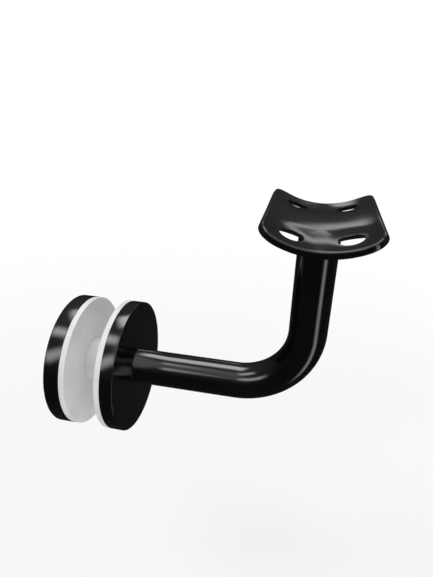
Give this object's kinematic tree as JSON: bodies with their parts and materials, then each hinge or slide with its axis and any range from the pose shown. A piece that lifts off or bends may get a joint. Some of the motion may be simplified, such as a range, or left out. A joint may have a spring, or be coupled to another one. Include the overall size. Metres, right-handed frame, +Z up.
{
  "type": "handrail bracket",
  "caption": "Glass-mounted handrail bracket: clamp discs with white gaskets, a bent round arm and a curved, drilled saddle plate under the rail.",
  "frame": {"origin": "centre of the front gasket's face, where it presses on the glass, on the clamp's axis", "axes": "+X out of the glass towards the handrail, +Y along the handrail, +Z up"},
  "size_m": [0.0963, 0.0474, 0.0843],
  "materials": {
    "black_gloss_metal": "polished, gloss black",
    "white_nylon": "satin moulded white",
    "bright_steel": "plain turned steel"
  },
  "bodies": {
    "root": {"rear_disc": "black_gloss_metal", "front_disc": "black_gloss_metal", "arm_rod": "black_gloss_metal", "saddle_plate": "black_gloss_metal", "rear_gasket": "white_nylon", "front_gasket": "white_nylon", "glass_sleeve": "white_nylon", "clamp_stud": "bright_steel"}
  },
  "joints": []
}
